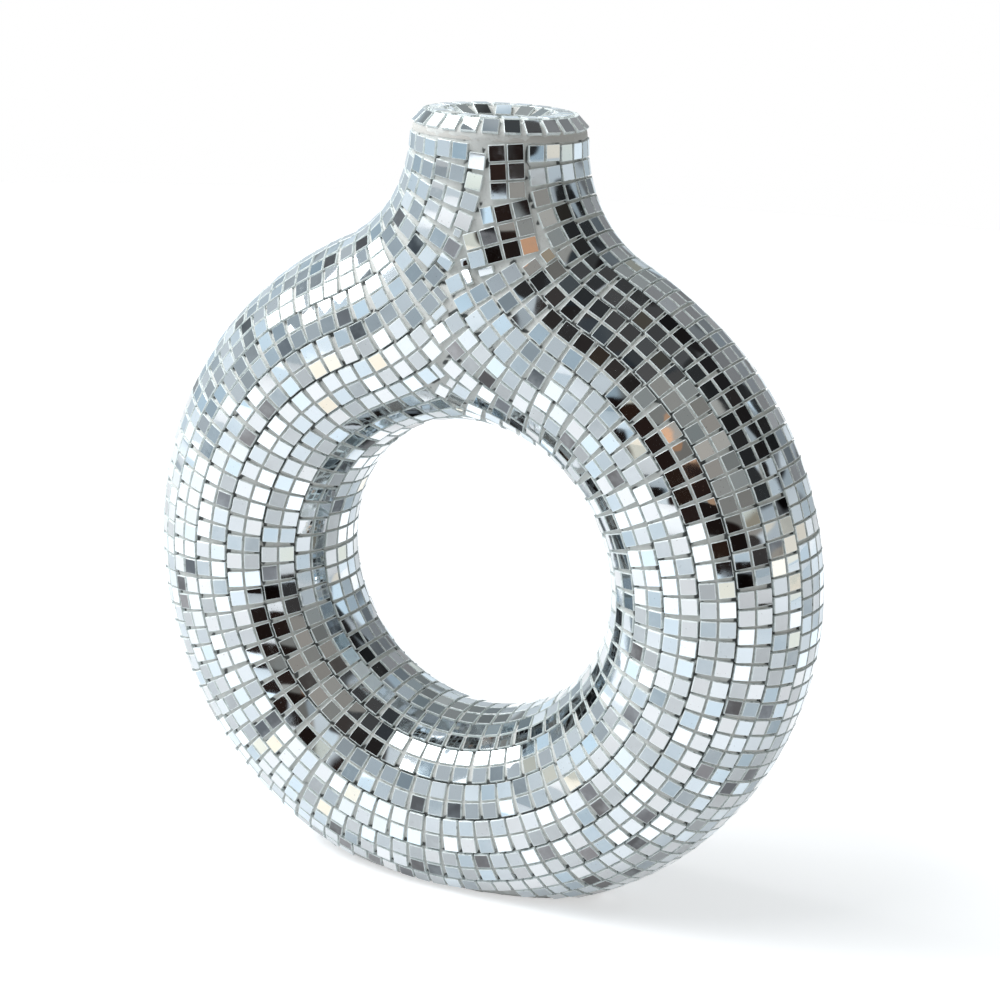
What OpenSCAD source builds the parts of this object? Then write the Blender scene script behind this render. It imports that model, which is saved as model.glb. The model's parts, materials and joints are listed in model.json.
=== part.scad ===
// Ring shaped bud vase with a short flared neck, covered all over with small square
// mirror tiles. The origin is at the middle of the flat base, Z is up, the ring stands
// in the XZ plane with its hole along Y, and the front faces -Y. Millimetres.

/* [Ring] */
// Width of the ring, over the mirrors
ring_w = 138; // [124:1:160]
// Thickness of the ring's round tube, over the mirrors
tube_d = 39.6; // [36:0.2:44]
// How much of the ring's lowest point is cut off for the flat base
base_cut = 6.4; // [5:0.2:8]

/* [Neck] */
// Height of the rim above the ring
neck_rise = 19.4; // [18:0.2:26]
// Width of the neck just under the rim, over the mirrors
neck_d = 33.3; // [31:0.1:36]
// Radius of the flare that runs from the neck into the shoulders
flare_r = 24.5; // [20:0.5:27]
// Rounding of the rim's outer edge
rim_round = 4.3; // [3.8:0.1:4.6]
// Clear width of the mouth, inside its lining of mirrors
mouth_d = 13.7; // [12.6:0.1:13.8]
// Slope of the row of mirrors that leads into the mouth, in degrees from level
funnel_a = 30; // [26:1:34]
// Slope of the row of mirrors on the rim's rounded edge, in degrees from level
rim_a = 46; // [42:1:48]

/* [Shell] */
// Wall of the hollow ring
wall = 4; // [3:0.5:6]
// Thickness of the floor inside the ring, over the base
floor_t = 4; // [3:0.5:6]
// Thickness of the soft base pad
pad_t = 1; // [0.6:0.1:2]
// How far the pad stays inside the edge of the flat base
pad_inset = 1.4; // [0.5:0.1:3]

/* [Mirrors] */
// Side of one square mirror tile
tile_w = 3.04; // [2.9:0.02:3.08]
// Thickness of the mirror glass
glass_t = 1; // [0.8:0.1:1.2]
// Glue between the shell and the back of a tile
glue_t = 0.25; // [0.2:0.05:0.4]
// Narrowest joint between neighbouring tiles of a row
joint = 0.32; // [0.28:0.02:0.4]
// Rows of tiles on one face, from the outside of the ring to its hole
rows = 18; // [16:2:18]
// Tiles along one strip, before the next strip starts
strip_tiles = 7; // [4:1:12]
// Extra joint where one strip ends and the next starts
strip_gap = 0.3; // [0:0.05:0.6]
// Largest tilt of a hand laid tile, in degrees
lay_tilt = 1.1; // [0:0.1:1.4]

/* [Hidden] */

$fn = 96;

// Sizes that follow from the ring, over the mirrors
ring_or = ring_w/2;
tube_r = tube_d/2;
ring_r = ring_or - tube_r;
hole_r = ring_r - tube_r;
ring_z = ring_or - base_cut;
neck_r = neck_d/2;
overall_h = ring_z + ring_or + neck_rise;
brow_z = overall_h - rim_round;
crest_r = neck_r - rim_round;
mouth_r = mouth_d/2;

// From the face of a mirror down to the shell that it is glued to
bed = glass_t + glue_t;
// How far a cutting shape runs past what it cuts
overrun = 2;

// Centre of the flare's curve in the front view, seen from the ring's centre
bend_r = ring_or + flare_r;
bend_x = neck_r + flare_r;
bend_a = acos(bend_x/bend_r);
bend_z = ring_z + bend_r*sin(bend_a);

// Height above which the ring's round tube turns into the neck's oval, as a share of the
// ring's outer radius
blend_share = 0.63;
blend_z = ring_z + blend_share*ring_or;

function unit(v) = norm(v) == 0 ? v : v/norm(v);
function half_chord(r, d) = sqrt(max(r*r - d*d, 0));
function to_degrees(length, r) = length/r*180/PI;
function ease(t) = let (c = min(max(t, 0), 1)) c*c*(3 - 2*c);

// Half width at height z of a circle of radius r about height mid, flared into the neck.
// off is the depth below the mirrors' faces.
function flank(z, mid, r, off) =
    let (top = mid + half_chord(r + flare_r, bend_x),
         low = mid + (top - mid)*(r - off)/(r + flare_r))
    z >= top ? neck_r - off
    : z >= low ? bend_x - half_chord(flare_r + off, top - z)
    : half_chord(r - off, z - mid);

// The same, with the rounding of the rim
function reach(z, mid, r, off) =
    z <= brow_z ? flank(z, mid, r, off)
    : flank(brow_z, mid, r, off) - (rim_round - off) + half_chord(rim_round - off, z - brow_z);

function half_width(z, off) = reach(z, ring_z, ring_or, off);
function half_depth(z, off) = reach(z, ring_z + ring_r, tube_r, off);

// Depth of the vase's face in front of the XZ plane, at [x, z]
function face_depth(p, off) =
    let (tube = half_chord(tube_r - off, norm([p[0], p[1] - ring_z]) - ring_r),
         mix = ease((p[1] - blend_z)/(ring_z + ring_or*sin(bend_a) - blend_z)),
         w = half_width(p[1], off))
    mix == 0 ? tube
    : (1 - mix)*tube + mix*half_depth(p[1], off)*sqrt(max(1 - pow(p[0]/w, 2), 0));

function on_face(p, off) = [p[0], -face_depth(p, off), p[1]];

// The outline of the vase in the front view is walked by its length u, from the middle
// of the base, round the right side of the ring, up the flare and up the neck
turn_u = ring_or*(90 + bend_a)*PI/180;
neck_u = turn_u + flare_r*bend_a*PI/180;
rim_u = neck_u + brow_z - bend_z;

// Laying lines run square in from the outline. This is the point at depth e along one.
function on_line(u, e) =
    u <= turn_u ? let (a = to_degrees(u, ring_or) - 90, r = ring_or - e)
        [r*cos(a), ring_z + r*sin(a)]
    : u < neck_u ? let (a = bend_a - to_degrees(u - turn_u, flare_r), r = flare_r + e)
        [bend_x - r*cos(a), bend_z - r*sin(a)]
    : [neck_r - e, bend_z + u - neck_u];

// Laying lines that do not meet the hole run on this far past the middle of the neck
past_middle = 0.4*neck_r;
// Length of a laying line in the front view
function line_length(u) =
    u <= turn_u ? tube_d
    : u >= neck_u ? neck_r + past_middle
    : let (a = bend_a - to_degrees(u - turn_u, flare_r),
           aside = bend_r*sin(bend_a - a),
           to_middle = (bend_x + past_middle)/cos(a))
      (aside < hole_r ? min(to_middle, bend_r*cos(bend_a - a) - half_chord(hole_r, aside))
          : to_middle) - flare_r;

// Distance over the curved face along a laying line, against the angle that spaces it
line_steps = 36;
function line_depth(u, a) = line_length(u)*(1 - cos(a))/2;
function line_table(u) =
    let (pts = [for (i = [0:line_steps]) on_face(on_line(u, line_depth(u, 180*i/line_steps)), 0)])
    [for (i = 0, s = 0; i <= line_steps;
          i = i + 1, s = i <= line_steps ? s + norm(pts[i] - pts[i - 1]) : s)
        [s, 180*i/line_steps]];
function at(u, s) = on_face(on_line(u, line_depth(u, lookup(s, line_table(u)))), 0);

// Rows lie side by side from the outline inwards, and two rows make a band
row_w = PI*tube_r/rows;
bands = rows/2;
function row_depth(s) = tube_r*(1 - cos(to_degrees(s, tube_r)));
// Distance travelled along a band where it is shortest, against the outline's length
function band_marks(b) =
    let (t1 = turn_u*(1 - row_depth(2*b*row_w)/ring_or),
         t2 = t1 + (neck_u - turn_u)*(1 + row_depth((2*b - 2)*row_w)/flare_r))
    [[0, 0], [t1, turn_u], [t2, neck_u], [t2 + rim_u - neck_u, rim_u]];
function swapped(marks) = [for (m = marks) [m[1], m[0]]];
// The last place where the inner row of a band clears the seam, found by halving
function last_place(b, side, low, high, n = 12) =
    let (mid = (low + high)/2, frame = tile_frame(mid, (2*b - 0.5)*row_w))
    n == 0 ? low
    : frame[0][0] - spread(frame, 0) > side*seam_x(frame[0][2]) + joint/2
        ? last_place(b, side, mid, high, n - 1)
        : last_place(b, side, low, mid, n - 1);
// The tiles of a strip stand closer together, so that a gap is left between two strips.
// Columns are counted down from the seam or the rim, and up again for the outer row.
function band_places(b, side) =
    let (marks = band_marks(b), travel = marks[3][0], step_0 = pitch + strip_gap/strip_tiles,
         top = travel - step_0/2,
         first = 2*b*row_w < rim_reach ? top
             : min(top, lookup(last_place(b, side, turn_u/2, rim_u), swapped(marks))),
         down = floor(first/step_0 + 0.5), step = first/(down - 0.5), up = floor((top - first)/step))
    [for (i = [-up:down - 1])
        let (along_strip = (i + up + 3*b) % strip_tiles - (strip_tiles - 1)/2,
             shift = along_strip*strip_gap/strip_tiles)
        lookup(first - i*step + (i == down - 1 ? max(shift, 0) : shift), marks)];

pitch = tile_w + joint;
// Bands whose rows lie within this distance of the outline run up to the rim
rim_reach = PI*neck_r/2 + pitch;
probe = tile_w/4;
// Place of a tile: its middle, the way along the row and the way across. Where a row
// slants against its laying lines, its tiles stay square to the lines.
function tile_frame(u, s) =
    let (p = at(u, s), across = unit(at(u, s + probe) - at(u, s - probe)),
         out = unit(cross(p - at(u - probe, s), across)))
    [p, cross(across, out), across];

module tile(frame, tilt) {
    n = unit(cross(frame[1], frame[2]) + tan(lay_tilt)*(tilt[0]*frame[1] + tilt[1]*frame[2]));
    flat = unit(cross(frame[2], n));
    along = unit(flat + tan(lay_tilt)*tilt[2]/2*cross(n, flat));
    across = cross(n, along);
    p = frame[0];
    multmatrix([[along[0], across[0], n[0], p[0]],
                [along[1], across[1], n[1], p[1]],
                [along[2], across[2], n[2], p[2]],
                [0, 0, 0, 1]])
        translate([-tile_w/2, -tile_w/2, -glass_t]) cube([tile_w, tile_w, glass_t]);
}

// Pieces of strip, two tiles wide, on the front of the neck, where the strips from the left
// meet those from the right: [middle of the top edge in the front view, rows, lean in
// degrees]. The second hangs under the first, and the third beside the second.
first_share = 0.47;
first_strip = [[first_share*neck_r, brow_z], 3, 6];
second_strip = [strip_end(first_strip) + [joint, -joint], 3, 18];
third_strip = [beside(second_strip, 2, 20), 2, 20];
neck_strips = [first_strip, second_strip, third_strip];

function strip_down(strip) = [sin(strip[2]), -cos(strip[2])];
function strip_right(strip) = [cos(strip[2]), sin(strip[2])];
// How much of a length along a way over the face shows in the front view
function share(p, way) =
    2*probe/norm(on_face(p + probe*way, 0) - on_face(p - probe*way, 0));
function step_down(strip) =
    let (way = strip_down(strip)) pitch*share(strip[0] + strip[1]/2*pitch*way, way)*way;
function step_right(strip) =
    let (way = strip_right(strip)) pitch*share(strip[0] + strip[1]/2*pitch*strip_down(strip), way)*way;
function strip_end(strip) = strip[0] + strip[1]*step_down(strip);
function beside(strip, rows, lean) =
    let (corner = strip[0] + step_down(strip) - step_right(strip) - joint*strip_right(strip))
    corner - step_right([corner - step_right(strip), rows, lean]);
function strip_frames(strip) =
    let (down = strip_down(strip), right = strip_right(strip))
    [for (i = [0:strip[1] - 1], c = [0:1])
        let (p = strip[0] + (i + 0.5)*step_down(strip) + (c - 0.5)*step_right(strip))
        [on_face(p, 0), unit(on_face(p - probe*down, 0) - on_face(p + probe*down, 0)),
         unit(on_face(p - probe*right, 0) - on_face(p + probe*right, 0))]];

// The seam is where the bands from the left end, in the front view. It leaves the middle
// above the hole, drifts to the left and turns right, round the strips on the neck.
drift = 0.7*pitch;
function seam_x(z) =
    lookup(z, [[blend_z, 0], [third_strip[0][1] - 2*pitch, -drift],
               [third_strip[0][1], third_strip[0][0]],
               [second_strip[0][1], first_strip[0][0]]]);

// Half of what a tile covers along a way in the front view, and whether two tiles meet
function flat(v) = [v[0], v[2]];
function cover(frame, way) = (abs(flat(frame[1])*way) + abs(flat(frame[2])*way))*tile_w/2;
function meet(f, g) =
    let (gap = flat(f[0]) - flat(g[0]))
    norm(gap) < 2*tile_w
    && len([for (axis = [f[1], f[2], g[1], g[2]])
        let (way = unit(flat(axis)))
        if (abs(gap*way) > cover(f, way) + cover(g, way) + joint/3) way]) == 0;
function clear(frame, laid) = len([for (other = laid) if (meet(frame, other)) other]) == 0;
function other_side(frame) = [for (v = frame) [-v[0], v[1], v[2]]];

// A piece of strip straight across the top of the hole, which the last band leaves free
patch_cols = 5;
patch_x = patch_cols/2*pitch + joint;

function spread(frame, axis) = (abs(frame[1][axis]) + abs(frame[2][axis]))*tile_w/2;
function on_band(frame, b) =
    norm(frame[2]) > 0
    && frame[0][1] + spread(frame, 1) < -joint/2
    && frame[0][2] - spread(frame, 2) > pad_t/2
    && (b < bands || frame[0][2] < ring_z || frame[0][0] - spread(frame, 0) > patch_x);
// On the left all tiles stop at the seam. On the right they fill the notches there, so
// long as they stay clear of the tiles that are laid already.
function kept_left(frame, b) =
    on_band(frame, b)
    && frame[0][0] - spread(frame, 0) > joint/2 - seam_x(frame[0][2])
        - (frame[0][2] < blend_z ? 0 : pitch/4)
    && clear(other_side(frame), laid_first);
function kept_right(frame, b) =
    on_band(frame, b)
    && (frame[0][2] < ring_z ? frame[0][0] - spread(frame, 0) > joint/2
        : frame[0][0] > seam_x(frame[0][2]) - pitch)
    && (frame[0][0] > 2*neck_r || frame[0][2] < ring_z || clear(frame, laid));

laid_first = [for (strip = neck_strips) each strip_frames(strip)];
laid_left = [for (b = [1:bands], u = band_places(b, -1))
    if (u > turn_u)
        for (r = [0:1])
            let (frame = tile_frame(u, (2*b - 1.5 + r)*row_w))
            if (frame[0][0] < 3*pitch && kept_left(frame, b)) other_side(frame)];
laid = concat(laid_first, laid_left);

module half_band(b, side, seed) {
    us = band_places(b, side);
    tilts = rands(-1, 1, 6*len(us), seed);
    for (i = [0:len(us) - 1])
        for (r = [0:1]) {
            frame = tile_frame(us[i], (2*b - 1.5 + r)*row_w);
            k = 6*i + 3*r;
            if (side > 0 ? kept_right(frame, b) : kept_left(frame, b))
                tile(frame, [tilts[k], tilts[k + 1], tilts[k + 2]]);
        }
}

module hole_patch(seed) {
    tilts = rands(-1, 1, 6*patch_cols, seed);
    for (i = [0:patch_cols - 1])
        for (r = [0:1]) {
            t = 90 + (i - (patch_cols - 1)/2)*to_degrees(pitch, hole_r);
            f = to_degrees((2*bands - 1.5 + r)*row_w, tube_r);
            ring_x = ring_r + tube_r*cos(f);
            k = 6*i + 3*r;
            tile([[ring_x*cos(t), -tube_r*sin(f), ring_z + ring_x*sin(t)], [-sin(t), 0, cos(t)],
                  [-sin(f)*cos(t), -cos(f), -sin(f)*sin(t)]],
                 [tilts[k], tilts[k + 1], tilts[k + 2]]);
        }
}

module band(b, seed) {
    half_band(b, 1, seed);
    mirror([1, 0, 0]) half_band(b, -1, seed + 1);
    if (b == bands)
        hole_patch(seed + 2);
}

module neck_strip(seed) {
    tilts = rands(-1, 1, 3*len(laid_first), seed);
    for (i = [0:len(laid_first) - 1])
        tile(laid_first[i], [tilts[3*i], tilts[3*i + 1], tilts[3*i + 2]]);
}

// A ring of tiles about the mouth. a is the slope of their faces, from level.
module tile_ring(count, r, z, a, seed) {
    tilts = rands(-1, 1, 3*count, seed);
    for (i = [0:count - 1]) {
        t = 360*i/count;
        along = [-cos(t)*cos(a), -sin(t)*cos(a), sin(a)];
        tile([[r*cos(t), r*sin(t), z], along, [sin(t), -cos(t), 0]],
             [tilts[3*i], tilts[3*i + 1], tilts[3*i + 2]]);
    }
}
function ring_count(r) = floor(180/atan2((tile_w + joint)/2, r));

bore_r = mouth_r + bed;
hollow_r = tube_r - bed - wall;
shell_r = neck_r - bed;
// The shoulders stay this much deeper under the mirrors than the ring does
shoulder_drop = 0.3;

// Rows round the mouth: on the rim's edge, on its flat crest, down the funnel and
// standing in the bore. Each is set by the corners of the row outside it.
rim_row_r = crest_r + rim_round*sin(rim_a);
rim_row_z = brow_z + rim_round*cos(rim_a);
rim_row_low = rim_row_z - tile_w/2*sin(rim_a) - joint;
crest_row_r = crest_r + (rim_round - glass_t)*sin(rim_a) - tile_w/2*cos(rim_a) - (tile_w + joint)/2;
funnel_row_r = mouth_r + (tile_w/2 + joint)*cos(funnel_a);
funnel_row_z = overall_h - (tile_w/2 + joint/2)*sin(funnel_a);
mouth_row_z = funnel_row_z - tile_w/2*(1 + sin(funnel_a)) - glass_t*cos(funnel_a) - joint;

// The half of a disc that lies on the front side of the ring
module half_disc(r) {
    intersection() {
        circle(r = r);
        translate([-r, 0]) square([2*r, r]);
    }
}

module hollow() {
    intersection() {
        translate([0, 0, ring_z]) rotate([90, 0, 0])
            rotate_extrude() translate([ring_r, 0]) circle(r = hollow_r);
        translate([-ring_w/2, -tube_d/2, pad_t + floor_t]) cube([ring_w, tube_d, ring_w]);
    }
}

// Half of a round arm that bends from the neck out into the ring's shoulder
module shoulder() {
    translate([bend_x, 0, bend_z]) rotate([90, 0, 0]) rotate([0, 0, 180])
        rotate_extrude(angle = bend_a) translate([bend_x, 0]) half_disc(shell_r - shoulder_drop);
}

// The neck's half section: its wall, the rim's round edge, and a proud band of filler
// between the neck's top row and the row on the rim's edge
module neck_section() {
    low = ring_z + ring_r;
    translate([0, low]) square([shell_r, brow_z - low]);
    translate([0, low]) square([crest_r, overall_h - bed - low]);
    translate([crest_r, brow_z]) circle(r = rim_round - bed);
    intersection() {
        translate([crest_r, brow_z]) circle(r = rim_round - joint);
        translate([0, brow_z + joint/2]) square([neck_r, rim_row_low - brow_z]);
    }
}

module half_neck() {
    rotate([0, 0, 180]) rotate_extrude(angle = 180) neck_section();
}

module half_shell() {
    // The cone under the funnel's tiles, carried up past the rim
    cone_low = funnel_row_z - (funnel_row_r - mouth_r)*tan(funnel_a) - bed/cos(funnel_a);
    cone_h = overall_h - cone_low;
    difference() {
        union() {
            translate([0, 0, ring_z]) rotate([90, 0, 0])
                rotate_extrude() translate([ring_r, 0]) half_disc(tube_r - bed);
            half_neck();
            shoulder();
            mirror([1, 0, 0]) shoulder();
        }
        hollow();
        translate([0, 0, ring_z + ring_r]) cylinder(r = bore_r, h = overall_h - ring_z - ring_r);
        translate([0, 0, cone_low])
            cylinder(r1 = mouth_r, r2 = mouth_r + cone_h/tan(funnel_a), h = cone_h);
        translate([-ring_w/2, -tube_d/2, -base_cut - overrun])
            cube([ring_w, tube_d, base_cut + overrun + pad_t]);
    }
}

module front_shell() {
    color("gainsboro") half_shell();
}

module back_shell() {
    color("gainsboro") mirror([0, 1, 0]) half_shell();
}

// The pad fills the oval where the ring is cut flat
pad_points = 24;
module base_pad() {
    up = ring_z - pad_t;
    pad_x = half_chord(ring_or - bed, up) - pad_inset;
    function pad_y(x) = half_chord(tube_r - bed, norm([x, up]) - ring_r) - pad_inset;
    side = [for (i = [0:pad_points]) let (x = pad_x*cos(180*i/pad_points)) [x, max(pad_y(x), 0)]];
    color("dimgray") linear_extrude(height = pad_t)
        polygon(concat(side, [for (i = [pad_points - 1:-1:1]) [side[i][0], -side[i][1]]]));
}

module front_band_1() color("silver") band(1, 11);
module front_band_2() color("silver") band(2, 12);
module front_band_3() color("silver") band(3, 13);
module front_band_4() color("silver") band(4, 14);
module front_band_5() color("silver") band(5, 15);
module front_band_6() color("silver") band(6, 16);
module front_band_7() color("silver") band(7, 17);
module front_band_8() color("silver") band(8, 18);
module front_band_9() color("silver") band(9, 19);
module back_band_1() color("silver") mirror([0, 1, 0]) band(1, 21);
module back_band_2() color("silver") mirror([0, 1, 0]) band(2, 22);
module back_band_3() color("silver") mirror([0, 1, 0]) band(3, 23);
module back_band_4() color("silver") mirror([0, 1, 0]) band(4, 24);
module back_band_5() color("silver") mirror([0, 1, 0]) band(5, 25);
module back_band_6() color("silver") mirror([0, 1, 0]) band(6, 36);
module back_band_7() color("silver") mirror([0, 1, 0]) band(7, 27);
module back_band_8() color("silver") mirror([0, 1, 0]) band(8, 28);
module back_band_9() color("silver") mirror([0, 1, 0]) band(9, 29);
module front_neck_strip() color("silver") neck_strip(31);
module back_neck_strip() color("silver") mirror([0, 1, 0]) neck_strip(51);

module rim_tiles() {
    color("silver") tile_ring(ring_count(crest_row_r + (tile_w + joint)/2),
                              rim_row_r, rim_row_z, rim_a, 41);
}

module crest_tiles() {
    color("silver") tile_ring(ring_count(crest_row_r - tile_w/2), crest_row_r, overall_h - joint/4,
                              0, 44);
}

module funnel_tiles() {
    color("silver") tile_ring(ring_count(mouth_r + joint), funnel_row_r, funnel_row_z, -funnel_a, 42);
}

module mouth_tiles() {
    color("silver") tile_ring(ring_count(mouth_r), mouth_r, mouth_row_z, -90, 43);
}

front_shell();
back_shell();
base_pad();
front_band_1();
front_band_2();
front_band_3();
front_band_4();
front_band_5();
front_band_6();
front_band_7();
front_band_8();
front_band_9();
back_band_1();
back_band_2();
back_band_3();
back_band_4();
back_band_5();
back_band_6();
back_band_7();
back_band_8();
back_band_9();
front_neck_strip();
back_neck_strip();
rim_tiles();
crest_tiles();
funnel_tiles();
mouth_tiles();
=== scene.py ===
"""A ring-shaped vase with a short neck, covered in small square mirror tiles."""

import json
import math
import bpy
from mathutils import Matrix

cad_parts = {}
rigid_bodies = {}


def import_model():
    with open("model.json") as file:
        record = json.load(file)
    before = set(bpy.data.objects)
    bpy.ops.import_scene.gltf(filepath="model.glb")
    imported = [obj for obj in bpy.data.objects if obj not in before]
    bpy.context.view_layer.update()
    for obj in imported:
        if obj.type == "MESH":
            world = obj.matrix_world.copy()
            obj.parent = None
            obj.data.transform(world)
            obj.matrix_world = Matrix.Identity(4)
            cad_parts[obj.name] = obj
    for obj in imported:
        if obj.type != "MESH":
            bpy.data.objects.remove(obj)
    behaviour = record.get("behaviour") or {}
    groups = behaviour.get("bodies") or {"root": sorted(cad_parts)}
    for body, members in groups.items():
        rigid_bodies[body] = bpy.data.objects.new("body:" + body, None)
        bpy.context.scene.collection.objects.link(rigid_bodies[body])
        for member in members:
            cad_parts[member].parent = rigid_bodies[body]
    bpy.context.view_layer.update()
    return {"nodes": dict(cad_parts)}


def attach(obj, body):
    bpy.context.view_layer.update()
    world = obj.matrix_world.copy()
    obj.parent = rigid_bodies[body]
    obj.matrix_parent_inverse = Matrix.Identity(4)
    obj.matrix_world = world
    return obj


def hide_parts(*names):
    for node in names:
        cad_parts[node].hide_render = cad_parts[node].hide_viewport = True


bl_info = {
    "name": "Mirror Mosaic Vase",
    "version": (1, 0, 0),
    "blender": (4, 5, 0),
    "location": "View3D > Sidebar > Vase",
    "description": "Dresses a ring vase in bevelled mirror tiles, grout and a felt pad",
    "category": "Object",
}

import bpy
import numpy as np
from bpy.props import FloatProperty, FloatVectorProperty, IntProperty, PointerProperty
from mathutils import Matrix, Vector, kdtree, noise
from mathutils.bvhtree import BVHTree

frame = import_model()

MM = 0.001
FACES = ("front", "back")
SHELLS = tuple(f"{face}_shell" for face in FACES)
BANDS = tuple(n for n in frame["nodes"] if "_band_" in n)
NECK_STRIPS = tuple(f"{face}_neck_strip" for face in FACES)
MOUTH_ROWS = ("rim_tiles", "crest_tiles", "funnel_tiles", "mouth_tiles")
PAD = "base_pad"
CUTS = "cut_tiles"

# What each group of tiles adds to the seed of its painted reflections, and what the leans add to
# that
BAND_SEED_STEP = 10
NECK_SEED = 300
MOUTH_SEED = 400
CUT_SEED = 500
LEAN_SEED = 5000

# Waves a metre of the patterns in the finishes
RIM_WAVES = 900
SMUDGE_WAVES = 160
SPECK_WAVES = 2600
RIPPLE_WAVES = 170
GLASS_GRAIN_WAVES = 2200
CHIP_WAVES = 700
SAND_WAVES = 2400
STAIN_WAVES = 55
GAP_WAVES = 260
PIT_WAVES = 1300
CLOUD_WAVES = 70
FIBRE_WAVES = 3200
TUFT_WAVES = 420
REFLECTION_WAVES = 38
FLOOR_WAVES = 6

# Where each mark starts and where it is full, on its pattern's scale
RIM_STEP = (0.01, 0.09)
SMUDGE_STEP = (0.42, 0.78)
SPECK_STEP = (0.72, 0.8)
CHIP_STEP = (0.5, 0.72)
STAIN_STEP = (0.35, 0.75)
SAND_STEP = (0.55, 0.75)
GAP_STEP = (0.35, 0.7)
PIT_STEP = (0.35, 0.6)
FELT_STEP = (0.3, 0.7)

# How far noise shifts the edge of a worn rim and of a gap
RIM_WEAR = 0.06
GAP_WEAR = 0.5

# How far each mark colours what it lies on
RIM_SHARE = 0.5
SMUDGE_SHARE = 0.22
SPECK_SHARE = 0.35
CHIP_SHARE = 0.7
STAIN_SHARE = 0.35
SAND_PIT_SHADE_SHARE = 0.3

# What the marks add to the roughness of clean mirror
RIM_ROUGHNESS = 0.12
SMUDGE_ROUGHNESS = 0.1
SPECK_ROUGHNESS = 0.2

# The least value over a surface, and what the pattern adds to it at most
EDGE_ROUGHNESS = (0.22, 0.25)
EDGE_COAT = (0.3, 0.3)
GROUT_ROUGHNESS = (0.72, 0.22)
BODY_ROUGHNESS = (0.62, 0.2)
FELT_ROUGHNESS = (0.86, 0.12)

# Strength of each bump, and its depth in mm
MIRROR_BUMP = (1.0, 1.0)
EDGE_BUMP = (0.4, 0.05)
GROUT_BUMP = (0.5, 0.12)
BODY_BUMP = (0.3, 0.08)
FELT_BUMP = (0.6, 0.15)

# Each painted reflection laid on the silver: its colour, its least brightness, and what a draw
# adds to that
DARK_REFLECTION = ((0.36, 0.35, 0.36), 0.2, 0.4)
GREY_REFLECTION = ((0.62, 0.65, 0.67), 0.5, 0.3)
WARM_REFLECTION = ((0.96, 0.88, 0.74), 0.7, 0.1)
WHITE_REFLECTION = ((0.96, 0.98, 1.0), 0.94, 0.0)
SILVER_AND_REFLECTION = ((0.93, 0.95, 0.97), 0.46, 0.3)
REFLECTION_DRIFT = 0.12

# What the bluest painted reflection takes from a tile's red and its green
RED_LOSS, GREEN_LOSS = 0.5, 0.2

# Colours of the specks and of the body, and the brightness of the painted shade of grout and felt
# in their pits
SPECK_COLOUR = (0.12, 0.13, 0.14)
BODY_COLOURS = ((0.5, 0.49, 0.46), (0.62, 0.61, 0.58))
SHADE = 0.6
WHITE = (1.0, 1.0, 1.0, 1.0)
BLACK = (0.0, 0.0, 0.0, 1.0)

# The slots of a tile's two materials, and the share of its widest face past which a face is
# silvered and not ground
SILVER, GROUND = 0, 1
FLAT_SHARE = 0.9

# Angles past which an edge is bevelled or stays sharp, and the steps of the pad's bevel
TILE_EDGE = math.radians(40)
PAD_EDGE = math.radians(50)
PAD_SHARP = math.radians(35)
PAD_STEPS = 3

# How vertices are joined up, and how near the middle plane a face of the bond lies, in mm
MERGE = 0.005
SEAM_MERGE = 0.02
MIDDLE_PLANE = 0.002

# How the cut tiles are placed: where the search looks from, how far off a neighbour counts
# and how far a tile's glass reaches from its middle, in mm, how many of the nearest tiles set
# a piece's height and its direction, and how squarely its spot faces the front
CAST_FROM = 40
CUT_REACH = 5.2
HALF_TILE = 1.3
HEIGHT_TILES = 3
WAY_TILES = 2
LEAST_FACING = 0.3

# The grout is smoothed by this much, so many times
SMOOTH_FACTOR = 0.5
SMOOTH_ROUNDS = 4

# How many tiles near a spot of grout are looked at, and how many it must stay under
NEAR_TILES = 6
UNDER_TILES = 3

# A spot of grout lies between two strips while the other strip's nearest tile is at most so
# much further off than its own, and at most so far off, in mm. Both fade out over a length
GAP_SLACK, GAP_SLACK_FADE = 0.3, 1.4
GAP_REACH, GAP_REACH_FADE = 2.3, 0.5
NO_OTHER_STRIP = 9.0


class Field:
    """A node's output, which Python sums turn into Math nodes."""

    def __init__(self, graph, socket):
        self.graph = graph
        self.socket = socket

    def _sum(self, operation, *values):
        inputs = dict(enumerate(values))
        return self.graph.add("ShaderNodeMath", {"operation": operation}, inputs)["Value"]

    def __add__(self, other):
        return self._sum("ADD", self, other)

    __radd__ = __add__

    def __sub__(self, other):
        return self._sum("SUBTRACT", self, other)

    def __rsub__(self, other):
        return self._sum("SUBTRACT", other, self)

    def __mul__(self, other):
        return self._sum("MULTIPLY", self, other)

    __rmul__ = __mul__

    def __truediv__(self, other):
        return self._sum("DIVIDE", self, other)

    def __rtruediv__(self, other):
        return self._sum("DIVIDE", other, self)

    def __pow__(self, other):
        return self._sum("POWER", self, other)

    def __gt__(self, other):
        return self._sum("GREATER_THAN", self, other)

    def __abs__(self):
        return self._sum("ABSOLUTE", self)

    def least(self, other):
        """The smaller of the two."""
        return self._sum("MINIMUM", self, other)


class Outputs:
    """The outputs of a node, by name or number."""

    def __init__(self, graph, node):
        self.graph = graph
        self.node = node

    def __getitem__(self, name):
        return Field(self.graph, self.node.outputs[name])


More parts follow.
